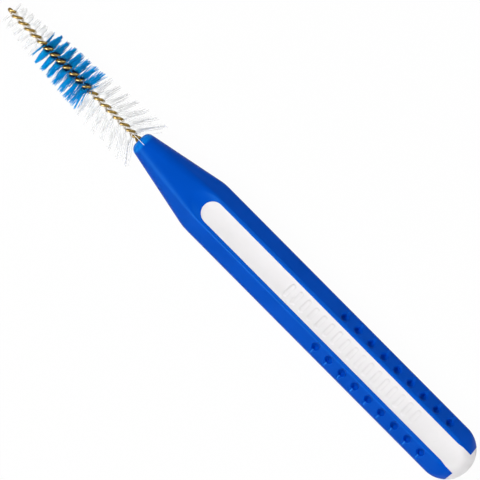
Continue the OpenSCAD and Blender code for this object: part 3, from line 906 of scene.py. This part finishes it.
class BRUSH_OT_bristles(Operator):
    """Build the three bands of filaments, white at the tip and base and blue in the middle"""

    bl_idname = "brush.bristles"
    bl_label = "Bristles"

    def execute(self, context):
        scene = context.scene
        b, colours = scene.brush_bristles, scene.brush_finish
        white = nylon_filament(
            "white_nylon_filament", colours.white_filament, 0.04,
            {"IOR": 1.53, "Roughness": 0.3, "Specular IOR Level": 0.1, "Alpha": 0.26,
             "Emission Color": colours.white_filament},
            # Painted glow at the roots of the clear filaments, up to this emission strength
            painted_root_glow=0.3,
        )
        # Held against the blue rim, a filament catches the light instead of the white paper
        lit = nylon_filament(
            "white_nylon_filament_lit", colours.white_filament, 0.04,
            {"IOR": 1.53, "Roughness": 0.3},
        )
        blue = nylon_filament(
            "blue_nylon_filament", colours.blue_filament, 0.12,
            {"IOR": 1.53, "Roughness": 0.35, "Specular IOR Level": 0.02, "Alpha": 0.75},
            # Dark navy painted shade at the roots, near the wire
            root=linear("#082c50"),
        )
        first = TIP_X + scene.brush_wire.wire_d / 2 - MOUTH_X + 0.12 * MM
        gap = 0.03 * MM
        # A pair holds the values at the start and end of a band
        shared = twist_values(scene.brush_wire) | {
            "Samples": 8, "Sides": 5, "Filament Radius": b.filament_d / 2,
            "Root Radius": 0.04 * MM, "Most Reach": HALF_W - 0.02 * MM, "Spread": 0.11 * MM,
            "Skew": (0.0, 0.0), "Lean": (0.0, 0.0), "Disorder": (0.0, 0.0),
            "Upright Lean": 0.0, "Uneven": 0.0, "Curl": 0.0, "Gather": 0.0, "Bunch": 0.0,
        }
        bands = [
            ("tip_band", "tip_bristles", "white_filament", {
                "Filaments": b.tip_count, "Seed": 11, "Material": white,
                "Place": (first, -b.tip_end - gap), "Reach": (1.44 * MM, 1.87 * MM),
                "Skew": (-0.04, -0.1), "Disorder": (0.06, 0.06), "Uneven": 0.03,
                "Curl": 0.03 * MM, "Gather": 0.15, "Bunch": 0.9,
                "Filament Radius": 0.55 * b.filament_d,
            }),
            ("middle_band", "middle_bristles", "blue_filament", {
                "Filaments": b.middle_count, "Seed": 23, "Material": blue,
                "Place": (-b.tip_end + gap, -b.middle_end - gap), "Reach": (1.98 * MM, 2.58 * MM),
                "Skew": (-0.02, -0.06), "Disorder": (0.04, 0.5), "Uneven": 0.05,
                "Lean": (0.0, math.radians(8)), "Curl": 0.06 * MM, "Gather": 0.4, "Bunch": 0.55,
                "Spread": 0.16 * MM,
            }),
            ("base_band", "base_bristles", "white_filament", {
                "Filaments": b.base_count, "Seed": 37, "Material": white,
                "Place": (-b.middle_end + gap, -b.base_end), "Reach": (2.75 * MM, 3.2 * MM),
                "Skew": (-0.08, 0.03), "Disorder": (0.1, 0.16), "Uneven": 0.05,
                "Lean": (math.radians(8), math.radians(41)), "Curl": 0.07 * MM, "Gather": 0.7,
                "Bunch": 0.8, "Filament Radius": 0.65 * b.filament_d,
            }),
            # The one filament that lies over the rim of the mouth
            ("stray_filament", "base_bristles", "white_filament", {
                "Filaments": 1, "Seed": 41, "Material": lit, "Spread": 0.0, "Upright Lean": 1.0,
                "Place": (-0.95 * MM, -0.95 * MM), "Reach": (2.0 * MM, 2.0 * MM),
                "Lean": (math.radians(42), math.radians(42)),
            }),
        ]
        tree = band_tree(with_ends(shared | bands[0][-1]))
        for name, node, slot, values in bands:
            obj = new_object(name)
            run_tree(obj, tree, with_ends(shared | values))
            make_plain(obj)
            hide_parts(node)
            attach(obj, "root")
        return {"FINISHED"}


def soft_lamp(name, power, across, tilt, heading):
    """Disc lamp that gives a white surface facing it this brightness. It leans from straight
    overhead by its tilt, towards its heading from +X, in degrees."""
    far = 0.35
    lamp = bpy.data.lights.new(name, "AREA")
    lamp.shape, lamp.size = "DISK", across
    lamp.energy = power * (math.pi * far) ** 2
    obj = new_object(name, lamp)
    tilt, heading = math.radians(tilt), math.radians(heading)
    way = Vector((
        math.sin(tilt) * math.cos(heading), math.sin(tilt) * math.sin(heading), math.cos(tilt)
    ))
    obj.location = way * far + Vector((0, 0, AXIS_Z))
    obj.rotation_euler = way.to_track_quat("Z", "Y").to_euler()
    obj.visible_camera = False
    return obj


class BRUSH_OT_stage(Operator):
    """Set up the pale floor, the soft lamps, the sky and the camera"""

    bl_idname = "brush.stage"
    bl_label = "Stage"

    def execute(self, context):
        scene = context.scene
        light = scene.brush_light

        # Camera: far above, turned as the photograph is, on its middle
        data = bpy.data.cameras.new("camera")
        data.lens, data.sensor_width = 1000.0, 36.0
        data.clip_start, data.clip_end = 0.001, 100.0
        camera = new_object("camera", data)
        far = PHOTO_W * PIXEL * data.lens / data.sensor_width
        lean = Matrix.Rotation(math.radians(PHOTO_LEAN), 3, "X")
        middle = Vector((
            MOUTH_X + (PHOTO_ALONG - PHOTO_MOUTH) * PIXEL, PHOTO_ACROSS * PIXEL, AXIS_Z
        ))
        camera.location = middle + lean @ Vector((0, 0, far))
        turn = Matrix.Rotation(math.radians(PHOTO_TURN), 3, "Z")
        camera.rotation_euler = (lean @ turn).to_euler()
        scene.camera = camera
        scene.view_settings.view_transform = "Standard"

        # Floor: white paper that keeps the soft shadow of the brush
        made, put, shader = new_material(
            "white_paper",
            {"Base Color": linear("#ececec"), "Roughness": 0.9, "Specular IOR Level": 0.1},
        )
        place = put("ShaderNodeTexCoord").outputs["Object"]
        fibre = put(
            "ShaderNodeTexNoise", {"Vector": place, "Scale": 1 / (0.6 * MM), "Detail": 4.0}
        )
        bump = put("ShaderNodeBump", {"Strength": 0.1, "Distance": 0.01 * MM, "Height": fibre})
        feed(shader, {"Normal": bump})
        rays = put("ShaderNodeLightPath").outputs
        seen = put("MAXIMUM", [rays["Is Camera Ray"], rays["Is Glossy Ray"]])
        seen = put("MAXIMUM", [seen, rays["Is Transmission Ray"]])
        glow = put("ShaderNodeEmission", {"Color": (1, 1, 1, 1), "Strength": 1.0})
        # The paper glows this much, and what is left of it is lit and shows the shadow
        glowing, half = 0.97, 1.5
        paper = put("MULTIPLY", [seen, glowing])
        mixed = put("ShaderNodeMixShader", [paper, shader, glow])
        feed(made.node_tree.nodes["Material Output"], {"Surface": mixed})
        mesh = bpy.data.meshes.new("floor")
        corners = [(-half, -half), (half, -half), (half, half), (-half, half)]
        mesh.from_pydata([(x, y, BODY_LOW.z) for x, y in corners], [], [(0, 1, 2, 3)])
        mesh.materials.append(made)
        new_object("floor", mesh)

        # Sky: white to the camera, and an even soft light on the brush
        world = bpy.data.worlds.new("sky")
        scene.world = world
        world.use_nodes = True
        put = partial(add, world.node_tree)
        rays = put("ShaderNodeLightPath").outputs
        seen = put("MAXIMUM", [rays["Is Camera Ray"], rays["Is Transmission Ray"]])
        gloss = put("MULTIPLY_ADD", [rays["Is Glossy Ray"], light.mirrored - light.sky, light.sky])
        power = put("ShaderNodeMix", {0: seen, 2: gloss, 3: 1.0})
        back = world.node_tree.nodes["Background"]
        feed(back, {"Color": (1, 1, 1, 1), "Strength": power})

        # Gloss shows the sky and the two sheen lamps, and the other two light the colours
        soft_lamp("key_lamp", light.key, 0.22, 20, -140).visible_glossy = False
        soft_lamp("end_lamp", light.end, 0.2, 66, 0).visible_glossy = False
        soft_lamp("sheen_lamp", light.sheen, 0.09, 56, -103).visible_diffuse = False
        soft_lamp("far_sheen_lamp", light.sheen / 4, 0.08, 42, 85).visible_diffuse = False
        return {"FINISHED"}


GROUPS = {
    "brush_handle": HandleSizes,
    "brush_wire": WireSizes,
    "brush_bristles": BristleSizes,
    "brush_finish": Finishes,
    "brush_light": StageLight,
}


class BRUSH_PT_sizes(Panel):
    """Panel with the brush's sizes, colours and build steps"""

    bl_idname = "BRUSH_PT_sizes"
    bl_label = "Interdental brush"
    bl_space_type = "VIEW_3D"
    bl_region_type = "UI"
    bl_category = "Brush"

    def draw(self, context):
        for name, group in GROUPS.items():
            box = self.layout.box()
            box.label(text=group.__doc__)
            for label in group.__annotations__:
                box.prop(getattr(context.scene, name), label)
        for step in STEPS:
            self.layout.operator(step.bl_idname)


STEPS = (
    BRUSH_OT_stage, BRUSH_OT_handle_body, BRUSH_OT_handle_insert, BRUSH_OT_wire, BRUSH_OT_bristles
)


def register():
    for kind in (*GROUPS.values(), *STEPS, BRUSH_PT_sizes):
        bpy.utils.register_class(kind)
    for name, group in GROUPS.items():
        setattr(bpy.types.Scene, name, PointerProperty(type=group))


def unregister():
    for name in GROUPS:
        delattr(bpy.types.Scene, name)
    for kind in (BRUSH_PT_sizes, *STEPS, *GROUPS.values()):
        bpy.utils.unregister_class(kind)


def main():
    """Builds the brush and its stage."""
    register()
    bpy.ops.brush.stage()
    bpy.ops.brush.handle_body()
    bpy.ops.brush.handle_insert()
    bpy.ops.brush.wire()
    bpy.ops.brush.bristles()


if __name__ == "__main__":
    main()
